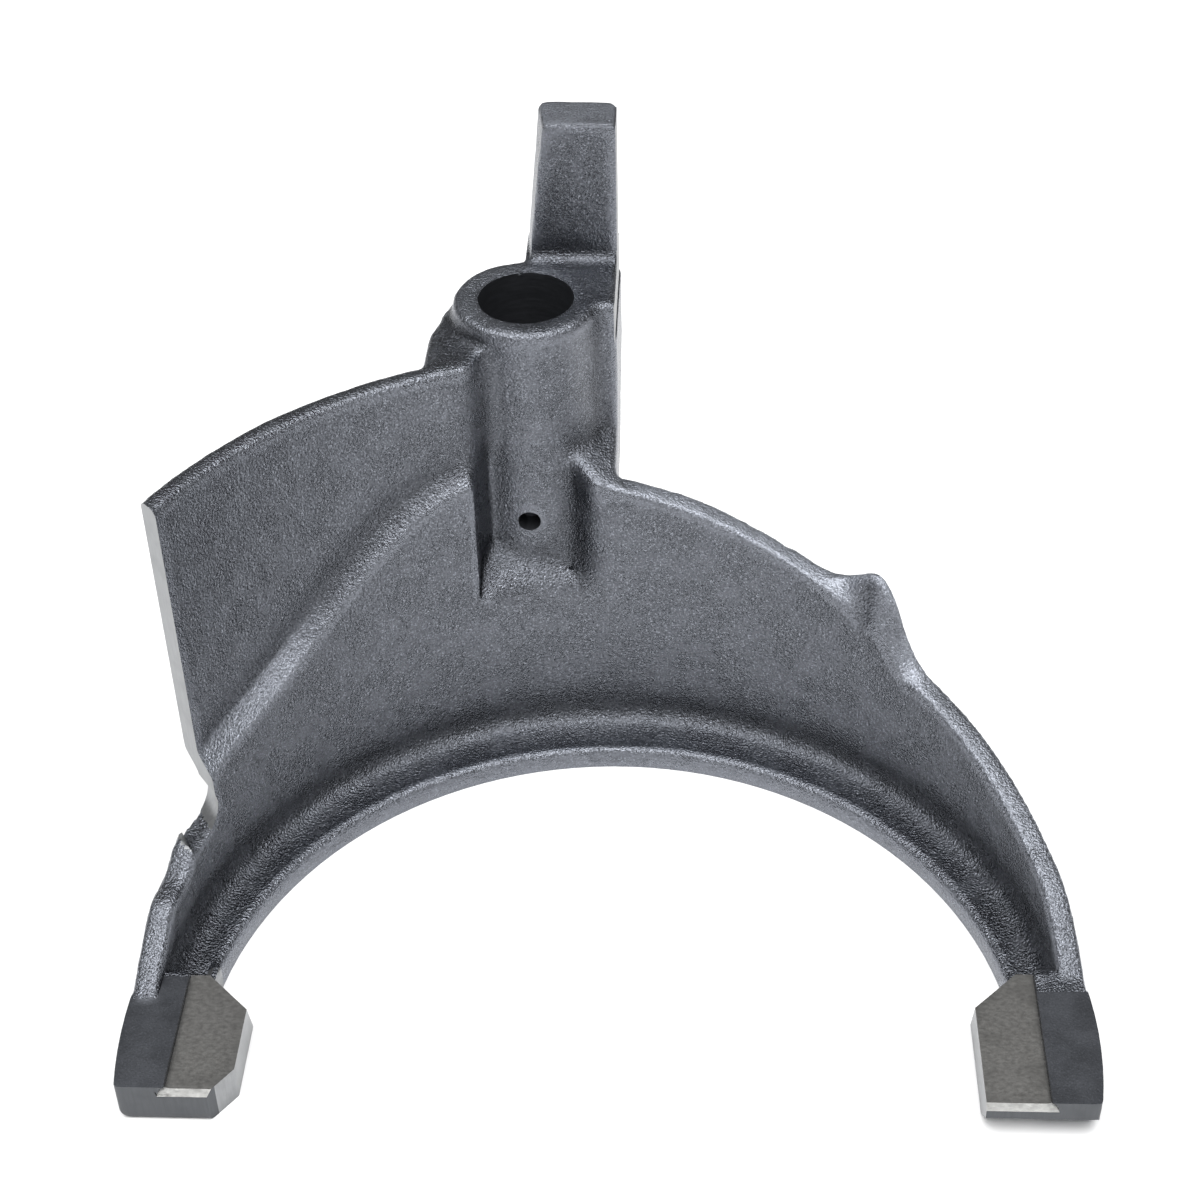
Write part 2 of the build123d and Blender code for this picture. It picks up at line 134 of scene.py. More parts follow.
# Most share of a normal along Z on the arms' inner sides and on the rail bore's wall
SIDE_RISE = 0.8
BORE_RISE = 0.75

# How near a point is to a bore's wall, and how far inside the hub's ends, to be moved onto the wall
RAIL_REACH = 0.25
PIN_REACH = 0.2
BOTTOM_MARGIN = 0.1
TOP_MARGIN = 0.6

# Columns of the table that measure makes
X, Y, Z, RADIUS, AZIMUTH, FROM_HUB, FROM_SLEEVE = range(7)

# Bounds of the zones that are softened further: column, value at share 0 and value at share 1
POCKET = ((FROM_HUB, 31, 27), (Z, 100, 95), (Y, 113, 109))
POCKET_LEFT_EDGE = ((X, -25, -28), (Z, STEP_HEIGHT + 3, STEP_HEIGHT - 1))
WEB_TOP_EDGE = ((X, -3, 1), (Z, 62, 66))
PANEL_TURN = ((X, -24, -26), (X, -40, -35), (Z, STEP_HEIGHT + 3, STEP_HEIGHT + 8), (Z, 98, 94))
POCKET_RIGHT = ((X, -20, -13), (X, 4, 0), (Z, 66, 60))
POCKET_FOOT = ((X, -28, -24), (X, 4, 0), (Z, 46, 42))
POCKET_DEPTH = ((Y, 104, 100), (Y, 76, 80), (Z, 26, 32))
BEAD = ((FROM_SLEEVE, 90, 87), (Z, 9, 7), (Z, 1.5, 3), (Y, 2, 8))

# Bounds of the trimmed patches, in the same form; the skin is lightened on them partly as trimmed metal and
# partly as painted highlight
TRIM_AND_HIGHLIGHT_BAND = (
    (RADIUS, WEB_INNER, WEB_INNER + 0.8),
    (RADIUS, 97, 95),
    (AZIMUTH, 8, 20),
    (AZIMUTH, 94, 86),
)
# Azimuths over which the band's lightening, in part a painted highlight, grows to full
BRIGHT_BAND = ((AZIMUTH, 38, 50),)
BAND_FOOT = 12.0
LUG_END = ((Z, 129, 131),)
HUB_TOP_LEFT = ((Z, 101.5, 102.5), (X, -14, -24))
STEP_RAMP = ((AZIMUTH, 130, 142), (Z, 62, 50), (RADIUS, WEB_INNER - 1, WEB_INNER))
RAMP_FOOT = 28.0

# Layers of noise in the cast skin: cell in millimetres, share of the height and seed
LUMPS = ((17.0, 1.0, 3), (7.0, 0.6, 4))
SKIN_BUMPS = ((3.1, 1.0, 5), (1.7, 0.7, 6))
TRIMMED_BUMPS = ((2.2, 1.0, 7),)

# Rounds that fade the skin out beside machined faces, and that the stored reliefs are measured from
FADE_ROUNDS = 3
CLOSE_ROUNDS = 6
WIDE_ROUNDS = 40

# Sharpest angle in degrees that is still shaded smooth, and the fewest faces of a sound casting
SMOOTH_ANGLE = 38.0
FEWEST_FACES = 1000

# Distance in metres within which the solid's loose triangles are joined
MERGE_DISTANCE = 1e-6

# Stage in metres: half the floor's width, and the place, target and size of each light
FLOOR_HALF = 0.85
OVERHEAD = ((0.0, -0.30, 1.25), (0.0, 0.02, 0.0), (1.6, 1.2))
FLOOR_WASH = ((0.0, 0.0, 2.5), (0.0, 0.0, 0.0), (7.0, 7.0))

# Camera: place in metres, turns in degrees, and sensor and focal length in millimetres
CAMERA_PLACE = (0.01476, -0.28355, 0.34378)
CAMERA_PITCH_YAW_ROLL = (39.07, 2.95, -1.23)
SENSOR_WIDTH = 36.0
FOCAL_LENGTH = 66.53


# Settings


class CastingSettings(bpy.types.PropertyGroup):
    """Shape and colours of the casting."""

    mesh_scale: FloatProperty(
        name="Mesh fineness", default=0.85, min=0.3, max=0.95,
        description="Share of the sampling cube that the fork fills; more gives smaller faces",
    )
    soften_steps: IntProperty(
        name="Softening", default=6, min=0, max=40,
        description="Rounds of smoothing that blend the cast faces into each other",
    )
    zone_steps: IntProperty(
        name="Pocket softening", default=24, min=0, max=80,
        description="Further rounds of smoothing at the pocket, the ledge and the block",
    )
    lump_height: FloatProperty(
        name="Lumps", default=0.00012, unit="LENGTH",
        description="Height of the slow unevenness in the cast skin",
    )
    skin_height: FloatProperty(
        name="Skin", default=0.00005, unit="LENGTH",
        description="Height of the small bumps in the cast skin",
    )
    trim_height: FloatProperty(
        name="Trimmed edge", default=0.00018, unit="LENGTH",
        description="Height of the bumps left where the casting's edges were trimmed",
    )
    skin_colour: FloatVectorProperty(
        name="Cast skin", default=(0.146, 0.154, 0.173), subtype="COLOR", size=3, min=0, max=1,
        description="Colour of the blasted cast skin",
    )
    pad_colour: FloatVectorProperty(
        name="Wear faces", default=(0.29, 0.286, 0.275), subtype="COLOR", size=3, min=0, max=1,
        description="Colour of the ground wear faces",
    )
    milled_colour: FloatVectorProperty(
        name="Milled faces", default=(0.305, 0.312, 0.320), subtype="COLOR", size=3, min=0, max=1,
        description="Colour of the freshly milled faces",
    )
    front_colour: FloatVectorProperty(
        name="Tip fronts", default=(0.102, 0.107, 0.115), subtype="COLOR", size=3, min=0, max=1,
        description="Colour of the dull milled fronts of the arms",
    )
    chamfer_colour: FloatVectorProperty(
        name="Chamfers", default=(0.75, 0.75, 0.73), subtype="COLOR", size=3, min=0, max=1,
        description="Colour of the bright cut along the front of the wear faces",
    )


class StudioSettings(bpy.types.PropertyGroup):
    """Floor and lights."""

    floor_colour: FloatVectorProperty(
        name="Floor", default=(0.9, 0.9, 0.9), subtype="COLOR", size=3, min=0, max=1,
        description="Colour of the floor",
    )
    key_power: FloatProperty(
        name="Overhead light", default=24.0, unit="POWER",
        description="Power of the large soft light above the fork",
    )
    floor_power: FloatProperty(
        name="Floor light", default=130.0, unit="POWER",
        description="Power of the light that whitens the floor and leaves no glint on the metal",
    )
    sky_strength: FloatProperty(
        name="Surrounding light", default=0.17, min=0,
        description="Strength of the even light from all round",
    )


# Mesh arrays


def read_points(mesh):
    """Vertex positions in millimetres, one row each."""
    flat = np.empty(len(mesh.vertices) * 3, np.float32)
    mesh.vertices.foreach_get("co", flat)
    return flat.reshape(-1, 3).astype(float) / MM


def write_points(mesh, points):
    """Puts rows of millimetres back into the mesh."""
    mesh.vertices.foreach_set("co", (points * MM).astype(np.float32).ravel())
    mesh.update()


def read_normals(mesh):
    """Vertex normals, one row each."""
    flat = np.empty(len(mesh.vertices) * 3, np.float32)
    mesh.vertex_normals.foreach_get("vector", flat)
    return flat.reshape(-1, 3).astype(float)


def read_edges(mesh):
    """Pairs of vertex numbers, one row for each edge."""
    flat = np.empty(len(mesh.edges) * 2, np.int32)
    mesh.edges.foreach_get("vertices", flat)
    return flat.reshape(-1, 2)


def read_faces(mesh):
    """Centre in millimetres and normal of every face."""
    centres = np.empty(len(mesh.polygons) * 3, np.float32)
    normals = np.empty(len(mesh.polygons) * 3, np.float32)
    mesh.polygons.foreach_get("center", centres)
    mesh.polygons.foreach_get("normal", normals)
    return centres.reshape(-1, 3) / MM, normals.reshape(-1, 3)


def neighbour_mean(values, edges):
    """Mean of each vertex's neighbours: the values at the far ends of its edges, over their count."""
    a, b = edges[:, 0], edges[:, 1]
    count = np.bincount(a, minlength=len(values)) + np.bincount(b, minlength=len(values))
    columns = [
        np.bincount(a, values[b, k], len(values)) + np.bincount(b, values[a, k], len(values))
        for k in range(values.shape[1])
    ]
    return np.stack(columns, 1) / np.maximum(count, 1)[:, None]


def cell_noise(points, cell, seed):
    """Smooth noise from -1 to 1.

    Random heights stand on a cubic grid of that cell and are blended by 3t^2 - 2t^3 along each axis.
    """
    size = 64
    heights = np.random.default_rng(seed).uniform(-1, 1, (size, size, size))
    place = points / cell
    base = np.floor(place).astype(int)
    t = place - base
    t = t * t * (3 - 2 * t)
    total = np.zeros(len(points))
    for corner in range(8):
        step = np.array([corner & 1, corner >> 1 & 1, corner >> 2 & 1])
        index = (base + step) % size
        share = np.prod(np.where(step, t, 1 - t), 1)
        total += share * heights[index[:, 0], index[:, 1], index[:, 2]]
    return total


def layered_noise(points, layers):
    """Sum of the layers, each the smooth noise of its cell and seed times its share."""
    return sum(share * cell_noise(points, cell, seed) for cell, share, seed in layers)


# Faces of the fork


def from_axis(points, x, y):
    """Distance of each point from an upright axis."""
    return np.hypot(points[:, 0] - x, points[:, 1] - y)


def end_frame(radius, azimuth, turn):
    """Corner, direction across the web and direction clear of the panel, for a cut at an azimuth."""
    a, h = math.radians(azimuth), math.radians(azimuth + turn)
    corner = np.array([radius * math.cos(a), WEB_CENTRE_Y + radius * math.sin(a)])
    return corner, np.array([math.cos(h), math.sin(h)]), np.array([-math.sin(h), math.cos(h)])


def panel_end_gap(points):
    """Signed distance of each point from the plane of the panel's machined end."""
    corner, _, clear = end_frame(PANEL_OUTER, END_AZIMUTH, END_TURN)
    return (points[:, :2] - corner) @ clear


def relief_gap(points):
    """Distance of each point from the axis of the round relief, less its radius."""
    corner, _, clear = end_frame(WEB_OUTER, RELIEF_AZIMUTH, RELIEF_TURN)
    along = (points[:, :2] - corner) @ clear - RELIEF_RADIUS
    return np.hypot(along, points[:, 2] - RELIEF_HEIGHT) - RELIEF_RADIUS


def tip_front(points):
    """Y of the front face on the point's own arm."""
    return np.where(points[:, 0] > 0, TIP_RIGHT_Y, TIP_LEFT_Y)


SKIN, STRIP, PAD, CHAMFER, MILLED, BORE, FRONT = range(7)


def face_finish(centres, normals):
    """Number of the finish on each face, told by the plane or cylinder that it lies on."""
    x, y, z = centres.T
    side = np.abs(x)
    upward = normals[:, 2]
    finish = np.full(len(centres), SKIN)

    arms = (y < ARM_BACK_Y) & (z < STRIP_HEIGHT + NEAR_ROUND) & (side > ARM_INNER_X)
    level = arms & (upward > SQUARE)
    finish[level & (y < STRIP_BACK_Y) & (side > PAD_OUTER_X)] = STRIP
    finish[level & (np.abs(z - PAD_HEIGHT) < NEAR_ROUND) & (side < PAD_OUTER_X)] = PAD
    front = arms & (normals[:, 1] < -PARTLY) & (y < tip_front(centres) + TIP_DEPTH)
    finish[front] = FRONT
    finish[front & (upward > PARTLY)] = CHAMFER
    inner = arms & (side < INNER_SIDE_X) & (np.abs(upward) < SIDE_RISE)
    finish[inner & (finish == SKIN)] = MILLED
    finish[(upward < -SQUARE) & (z < NEAR_PLANE)] = MILLED

    _, _, clear = end_frame(PANEL_OUTER, END_AZIMUTH, END_TURN)
    end = (np.abs(panel_end_gap(centres)) < NEAR_PANEL_END) & (z > RELIEF_HEIGHT)
    finish[end & (normals[:, :2] @ clear > SQUARE)] = MILLED
    _, across, _ = end_frame(WEB_OUTER, RELIEF_AZIMUTH, RELIEF_TURN)
    relief = (np.abs(relief_gap(centres)) < NEAR_ROUND) & (x < RELIEF_INNER_X)
    relief &= (z > RELIEF_HEIGHT - RELIEF_BELOW) & (z < RELIEF_TOP)
    finish[relief & (np.abs(normals[:, :2] @ across) < PARTLY)] = MILLED

    beside = (np.abs(x - MILLED_SIDE_X) < NEAR_PLANE) & (normals[:, 0] > SQUARE)
    finish[beside & (y > MILLED_SIDE_FRONT) & (z > MILLED_SIDE_FOOT)] = MILLED
    rail = from_axis(centres, *HUB) < RAIL_RADIUS + NEAR_ROUND
    finish[rail & (z > HUB_BOTTOM - 1) & (upward < BORE_RISE)] = BORE
    pin = np.hypot(x - HUB[0], z - PIN_HEIGHT) < PIN_RADIUS + NEAR_PIN
    finish[pin & (y > PIN_FRONT_Y)] = BORE
    return finish


def rise(values, start, full):
    """Smooth step from 0 at the start to 1 at the full value, 3t^2 - 2t^3 between them."""
    t = np.clip((values - start) / (full - start), 0, 1)
    return t * t * (3 - 2 * t)


def round_web(points):
    """Radius and azimuth in degrees of each point about the web's own axis."""
    x, y = points[:, 0], points[:, 1] - WEB_CENTRE_Y
    return np.hypot(x, y), np.degrees(np.arctan2(y, x))


def measure(points):
    """One row for each point: its place, its radius and azimuth about the web's axis, and its
    distances from the hub's axis and from the sleeve's."""
    return np.column_stack([points, *round_web(points), from_axis(points, *HUB), from_axis(points, 0, 0)])


def within(measures, bounds):
    """Product of one smooth step for each bound, from 0 at its first value to 1 at its second."""
    return np.prod([rise(measures[:, column], start, full) for column, start, full in bounds], 0)


def soft_zone(points):
    """Share of extra softening, from 0 to 1: the pocket, the ledge and the block's front, but not
    the rim of the hub, the pocket's sharp left edge below the step or the web's top edge."""
    measures = measure(points)
    kept = (1 - within(measures, POCKET_LEFT_EDGE)) * (1 - within(measures, WEB_TOP_EDGE))
    return within(measures, POCKET) * kept


def broad_zone(points):
    """Share of the broadest softening: the largest of the panel's turn to the hub, the right of the
    pocket and its foot, each times the pocket's depth."""
    measures = measure(points)
    parts = [within(measures, bounds) for bounds in (PANEL_TURN, POCKET_RIGHT, POCKET_FOOT)]
    return np.max(parts, 0) * within(measures, POCKET_DEPTH)


def bead_zone(points):
    """Share of softening along the bead and the flange beside it."""
    return within(measure(points), BEAD)


# Zones that are softened further, each with its rounds as a share of the setting
SOFT_ZONES = ((soft_zone, 1.0), (broad_zone, 2.0), (bead_zone, 0.75))


def bevel_ear(points):
    """Leans the front of the ear back.

    A point t of the way up the bevel moves out by depth times t, less towards the back of the web.
    The top edge is the highest point in each cell of azimuth.
    """
    radius, azimuth = round_web(points)
    first, last = EAR_BEVEL[0][0], EAR_BEVEL[-1][0]
    here = (azimuth > first) & (azimuth < last) & (radius > WEB_INNER - 1) & (radius < WEB_OUTER + 0.5)
    count = int((last - first) / EAR_CELL_DEGREES) + 1
    cells = np.clip(((azimuth - first) / EAR_CELL_DEGREES).astype(int), 0, count - 1)
    tops = np.zeros(count)
    np.maximum.at(tops, cells[here], points[here, 2])
    centres = first + EAR_CELL_DEGREES * (np.arange(count) + 0.5)
    top = np.interp(azimuth, centres, tops)
    drop = np.interp(azimuth, *np.transpose(EAR_BEVEL))
    t = np.clip((points[:, 2] - top + drop) / np.maximum(drop, EAR_LEAST_DROP), 0, 1)
    share = np.clip((WEB_OUTER - radius) / (WEB_OUTER - WEB_INNER), 0, 1)
    out = here * EAR_BEVEL_DEPTH * np.minimum(drop / EAR_FULL_DROP, 1) * t * share
    moved = points.copy()
    angle = np.radians(azimuth)
    moved[:, 0] += out * np.cos(angle)
    moved[:, 1] += out * np.sin(angle)
    return moved


def trim_and_highlight_share(points, normals):
    """Share from 0 to 1 of bright trimmed metal and painted highlight: the largest of four products of
    smooth steps.

    The patches are the band on top of the web right of the hub, which is fainter low on the arm, the lug's
    end, the left of the hub's top and the low end of the panel's step. The skin's colour is lightened on
    them partly as trimmed metal and partly as painted highlight; on the step's ramp it is painted highlight
    alone.
    """
    measures = measure(points)
    upward, z = normals[:, 2], points[:, 2]
    band = rise(upward, 0.3, 0.6) * within(measures, TRIM_AND_HIGHLIGHT_BAND) * (z > BAND_FOOT)
    band *= 0.3 + 0.7 * within(measures, BRIGHT_BAND)
    lug_end = 0.8 * rise(upward, 0.5, 0.9) * within(measures, LUG_END)
    hub_top = 0.35 * rise(upward, 0.7, 0.95) * within(measures, HUB_TOP_LEFT)
    ramp = 0.5 * rise(upward, 0.25, 0.5) * within(measures, STEP_RAMP) * (z > RAMP_FOOT)
    return np.max([band, lug_end, hub_top, ramp], 0)


def true_rounds(points):
    """Moves points near the rail bore and the cross pin hole onto their true cylinders.

    Each offset from the axis is multiplied by the true radius over the point's distance from it.
    """
    x, y, z = points.T
    rail = from_axis(points, *HUB)
    near = (np.abs(rail - RAIL_RADIUS) < RAIL_REACH) & (z > HUB_BOTTOM + BOTTOM_MARGIN)
    near &= z < HUB_TOP - TOP_MARGIN
    pull = np.where(near, RAIL_RADIUS / np.maximum(rail, 1), 1.0)
    moved = np.stack([HUB[0] + (x - HUB[0]) * pull, HUB[1] + (y - HUB[1]) * pull, z], 1)
    pin = np.hypot(x - HUB[0], z - PIN_HEIGHT)
    near = (np.abs(pin - PIN_RADIUS) < PIN_REACH) & (y > PIN_FRONT_Y) & (rail > RAIL_RADIUS + NEAR_ROUND)
    pull = np.where(near, PIN_RADIUS / np.maximum(pin, 1), 1.0)
    moved[:, 0] = HUB[0] + (moved[:, 0] - HUB[0]) * pull
    moved[:, 2] = PIN_HEIGHT + (z - PIN_HEIGHT) * pull
    return moved


def true_rim(points, rim):
    """Puts the vertices of the rail bore's rim on one level circle just under the hub's top."""
    chosen = rim & (points[:, 2] > HUB_TOP - 2) & (from_axis(points, *HUB) < RAIL_RADIUS + 1)
    axis = np.array(HUB)
    around = points[chosen, :2] - axis
    points[chosen, :2] = axis + around * (RAIL_RADIUS / np.hypot(*around.T))[:, None]
    points[chosen, 2] = HUB_TOP - RIM_DROP
    return points


# The casting


def sampled_copy(node, scale):
    """Copy of the node's mesh, merged and sampled again into even faces that keep its sharp edges."""
    mesh = node.data.copy()
    joined = bmesh.new()
    joined.from_mesh(mesh)
    bmesh.ops.remove_doubles(joined, verts=joined.verts, dist=MERGE_DISTANCE)
    joined.to_mesh(mesh)
    joined.free()
    rough = bpy.data.objects.new("fork_rough", mesh)
    bpy.context.scene.collection.objects.link(rough)
    remesh = rough.modifiers.new("even faces", "REMESH")
    remesh.mode = "SHARP"
    remesh.octree_depth = 8
    remesh.scale = scale
    remesh.sharpness = 1.0
    remesh.use_remove_disconnected = False
    bpy.context.view_layer.update()
    ready = rough.evaluated_get(bpy.context.evaluated_depsgraph_get())
    even = bpy.data.meshes.new_from_object(ready)
    rough.modifiers.clear()
    rough.data = even
    wrap = rough.modifiers.new("true faces", "SHRINKWRAP")
    wrap.target = node
    wrap.wrap_method = "NEAREST_SURFACEPOINT"
    bpy.context.view_layer.update()
    ready = rough.evaluated_get(bpy.context.evaluated_depsgraph_get())
    result = bpy.data.meshes.new_from_object(ready)
    bpy.data.objects.remove(rough)
    bpy.data.meshes.remove(mesh)
    bpy.data.meshes.remove(even)
    return result


def vertices_of(mesh, chosen):
    """For each vertex, whether any of its faces is chosen: a count of its chosen corners above 0."""
    loops = np.empty(len(mesh.loops), np.int32)
    mesh.loops.foreach_get("vertex_index", loops)
    totals = np.empty(len(mesh.polygons), np.int32)
    mesh.polygons.foreach_get("loop_total", totals)
    hit = np.repeat(chosen, totals)
    return np.bincount(loops, hit, len(mesh.vertices)) > 0


def add_attribute(mesh, name, values):
    """Stores one number for each vertex, for the material to read."""
    layer = mesh.attributes.new(name, "FLOAT", "POINT")
    layer.data.foreach_set("value", values.astype(np.float32))


def pulled(points, share, edges):
    """Points moved towards the mean of their neighbours, by half their share of the way."""
    return points + 0.5 * share * (neighbour_mean(points, edges) - points)


def shape_casting(mesh, settings):
    """Softens the cast faces and gives them an uneven skin, while the machined faces stay true.

    Each round moves a cast vertex half way to the mean of its neighbours, and then away from
    their new mean by half of what is left, which rounds the creases but keeps the size. The zones
    get more rounds of the first move alone. The skin is then moved along its normals by lumps, by
    small bumps and by the rougher bumps of the trimmed edges.
    """
    edges = read_edges(mesh)
    finish = face_finish(*read_faces(mesh))
    free = 1.0 - vertices_of(mesh, finish != SKIN).astype(float)[:, None]
    fade = free
    for _ in range(FADE_ROUNDS):
        fade = np.minimum(fade, neighbour_mean(fade, edges))
    rim = vertices_of(mesh, finish == BORE) & vertices_of(mesh, finish == SKIN)
    points = true_rim(bevel_ear(true_rounds(read_points(mesh))), rim)
    for _ in range(settings.soften_steps):
        points = pulled(points, free, edges)
        points = pulled(points, -fade, edges)
    for zone, rounds in SOFT_ZONES:
        share = free * zone(points)[:, None]
        for _ in range(int(rounds * settings.zone_steps)):
            points = pulled(points, share, edges)
    write_points(mesh, points)
    normals = read_normals(mesh)
    # Share of the patches lightened as trimmed metal and painted highlight, which also get rougher bumps
    trimmed = trim_and_highlight_share(points, normals)
    height = settings.lump_height / MM * layered_noise(points, LUMPS)
    height += settings.skin_height / MM * layered_noise(points, SKIN_BUMPS)
    height += settings.trim_height / MM * trimmed * layered_noise(points, TRIMMED_BUMPS)
    points += normals * (height[:, None] * fade)
    low, high = np.array(SOLID_BOX) / MM
    write_points(mesh, np.clip(points, low, high))
    add_attribute(mesh, "trimmed", trimmed)
    return finish


def store_relief(mesh, rounds, name):
    """Stores how far each vertex stands proud of the surface smoothed by that many rounds, in millimetres.

    Ridges and outer edges come out above zero, hollows and inner corners below it.
    """
    edges = read_edges(mesh)
    points = read_points(mesh)
    smooth = points
    for _ in range(rounds):
        smooth = neighbour_mean(smooth, edges)
    proud = ((points - smooth) * read_normals(mesh)).sum(1)
    add_attribute(mesh, name, proud)


# Shader tools


class Graph:
    """Short calls that add nodes to one node tree and join them."""

    def __init__(self, tree):
        self.tree = tree

    def node(self, kind, **values):
        """New node of a kind, with its settings."""
        made = self.tree.nodes.new(kind)
        for key, value in values.items():
            setattr(made, key, value)
        return made

    def feed(self, socket, value):
        """Joins another node's output to the socket, or sets the socket to a plain value."""
        if isinstance(value, bpy.types.NodeSocket):
            self.tree.links.new(value, socket)
        else:
            socket.default_value = value

    def math(self, operation, *values):
        """Sum, difference or product of the values."""
        made = self.node("ShaderNodeMath", operation=operation)
        for socket, value in zip(made.inputs, values):
            self.feed(socket, value)
        return made.outputs[0]

    def mix(self, factor, first, second):
        """Colour that goes from the first to the second as the factor goes from 0 to 1."""
        made = self.node("ShaderNodeMix", data_type="RGBA")
        self.feed(made.inputs[0], factor)
        self.feed(made.inputs[6], first)
        self.feed(made.inputs[7], second)
        return made.outputs[2]

    def span(self, value, low, high, to_low=0.0, to_high=1.0):
        """Smooth step from to_low where the value is low to to_high where it is high."""
        made = self.node("ShaderNodeMapRange", interpolation_type="SMOOTHSTEP")
        for socket, number in zip(made.inputs, (value, low, high, to_low, to_high)):
            self.feed(socket, number)
        return made.outputs[0]

    def noise(self, place, scale, detail, roughness):
        """Noise around 0.5 with about scale waves to the metre."""
        made = self.node("ShaderNodeTexNoise")
        self.feed(made.inputs["Vector"], place)
        made.inputs["Scale"].default_value = scale
        made.inputs["Detail"].default_value = detail
        made.inputs["Roughness"].default_value = roughness
        return made.outputs[0]

    def attribute(self, name):
        """Number stored on the mesh under that name."""
        return self.node("ShaderNodeAttribute", attribute_name=name).outputs["Fac"]

    def object_place(self):
        """Place on the piece, in metres."""
        return self.node("ShaderNodeTexCoord").outputs["Object"]

    def stretched_place(self, scale):
        """Place on the piece, with each axis multiplied by its own scale."""
        mapping = self.node("ShaderNodeMapping")
        self.feed(mapping.inputs["Vector"], self.object_place())
        mapping.inputs["Scale"].default_value = scale
        return mapping.outputs[0]

    def group(self, name):
        """Shader group of that name, placed in this tree."""
        return self.node("ShaderNodeGroup", node_tree=bpy.data.node_groups[name])


def new_group(name, inputs, outputs):
    """Empty shader group, with inputs given as name, kind and default, and outputs that are all numbers."""
    tree = bpy.data.node_groups.new(name, "ShaderNodeTree")
    for label, kind, default in inputs:
        tree.interface.new_socket(label, in_out="INPUT", socket_type=kind).default_value = default
    for label in outputs:
        tree.interface.new_socket(label, in_out="OUTPUT", socket_type="NodeSocketFloat")
    graph = Graph(tree)
    return graph, graph.node("NodeGroupInput").outputs, graph.node("NodeGroupOutput").inputs


def blasted_grain_group():
    """Grain of a shot-blasted skin: a sum of fine and coarse noise for the height, a mask of specks where
    the colour is lightened to paint glints on single grains, dark pits and a slow mottle."""
    graph, given, out = new_group(
        "blasted grain",
        [("Fine", "NodeSocketFloat", 0.7), ("Coarse", "NodeSocketFloat", 0.3)],
        ["Height", "Specks", "Pits", "Mottle"],
    )
    place = graph.object_place()
    fine = graph.math("MULTIPLY", graph.noise(place, 2200, 2.0, 0.6), given["Fine"])
    coarse = graph.math("MULTIPLY", graph.noise(place, 1100, 2.0, 0.55), given["Coarse"])
    graph.feed(out["Height"], graph.math("ADD", fine, coarse))
    # Specks where the colour is lightened: painted glints on single grains
    graph.feed(out["Specks"], graph.span(graph.noise(place, 2600, 1.0, 0.5), 0.54, 0.70))
    graph.feed(out["Pits"], graph.span(graph.noise(place, 2100, 2.0, 0.6), 0.50, 0.32))
    graph.feed(out["Mottle"], graph.noise(place, 130, 3.0, 0.6))


def edge_highlight_and_shade_group():
    """Masks of painted highlight on the ridges and of painted shade in the hollows: smooth steps of the
    reliefs stored on the mesh, the ridges broken up by noise."""
    graph, given, out = new_group(
        "edge wear",
        [
            ("Ridge Start", "NodeSocketFloat", 0.03),
            ("Ridge Full", "NodeSocketFloat", 0.16),
            ("Hollow Full", "NodeSocketFloat", -0.35),
        ],
        ["Ridge", "Hollow"],
    )
    even = graph.math("SUBTRACT", graph.noise(graph.object_place(), 700, 2.0, 0.6), 0.5)
    ragged = graph.math("MULTIPLY", even, 0.12)
    close = graph.math("ADD", graph.attribute("relief_close"), ragged)
    # Painted highlight along the ridges and outer edges
    graph.feed(out["Ridge"], graph.span(close, given["Ridge Start"], given["Ridge Full"]))
    # Painted shade in the hollows and inner corners
    graph.feed(out["Hollow"], graph.span(graph.attribute("relief_wide"), -0.02, given["Hollow Full"]))


def cutter_marks_group():
    """Fine straight marks of a cutter or wheel, which are noise on a place that is stretched along one
    axis, and slow stains."""
    graph, given, out = new_group(
        "cutter marks", [("Place", "NodeSocketVector", (0, 0, 0))], ["Marks", "Stain"]
    )
    graph.feed(out["Marks"], graph.noise(given["Place"], 1500, 3.0, 0.7))
    graph.feed(out["Stain"], graph.noise(graph.object_place(), 160, 4.0, 0.6))


def start_material(name):
    """New material with only its shader and its output."""
    material = bpy.data.materials.new(name)
    material.use_nodes = True
    tree = material.node_tree
    tree.nodes.clear()
    graph = Graph(tree)
    shader = graph.node("ShaderNodeBsdfPrincipled")
    output = graph.node("ShaderNodeOutputMaterial")
    tree.links.new(shader.outputs[0], output.inputs[0])
    return material, graph, shader


def add_bump(graph, shader, height, distance):
    """Joins a height to the shader's normal, with its full height in metres."""
    bump = graph.node("ShaderNodeBump")
    bump.inputs["Distance"].default_value = distance
    graph.feed(bump.inputs["Height"], height)
    graph.feed(shader.inputs["Normal"], bump.outputs[0])


def rgba(colour, factor=1.0):
    """Colour as four numbers, lightened or darkened by a factor."""
    return tuple(min(1.0, c * factor) for c in colour) + (1.0,)


# Values of the mottle's noise between which it goes from dark to light
MOTTLE_RANGE = (0.3, 0.7)

# Tints of the blasted skins: mask, its share and the factor on the skin's colour. The specks are painted
# glints, the ridge tint is painted highlight and the hollow tint is painted shade; the pits are dark spots
# in the grain.
CAST_TINTS = (("Specks", 0.5, 3.0), ("Pits", 0.6, 0.35), ("Ridge", 0.45, 1.8), ("Hollow", 0.4, 0.5))
STRIP_TINTS = (("Specks", 0.35, 1.1), ("Pits", 0.4, 0.35))


def blasted_base(graph, masks, colour, dark, light, tints):
    """Colour that drifts from one factor of it to another with the mottle, then mixed towards
    each tint by that tint's share of its mask."""
    base = graph.mix(graph.span(masks["Mottle"], *MOTTLE_RANGE), rgba(colour, dark), rgba(colour, light))
    for name, share, factor in tints:
        base = graph.mix(graph.math("MULTIPLY", masks[name], share), base, rgba(colour, factor))
    return base


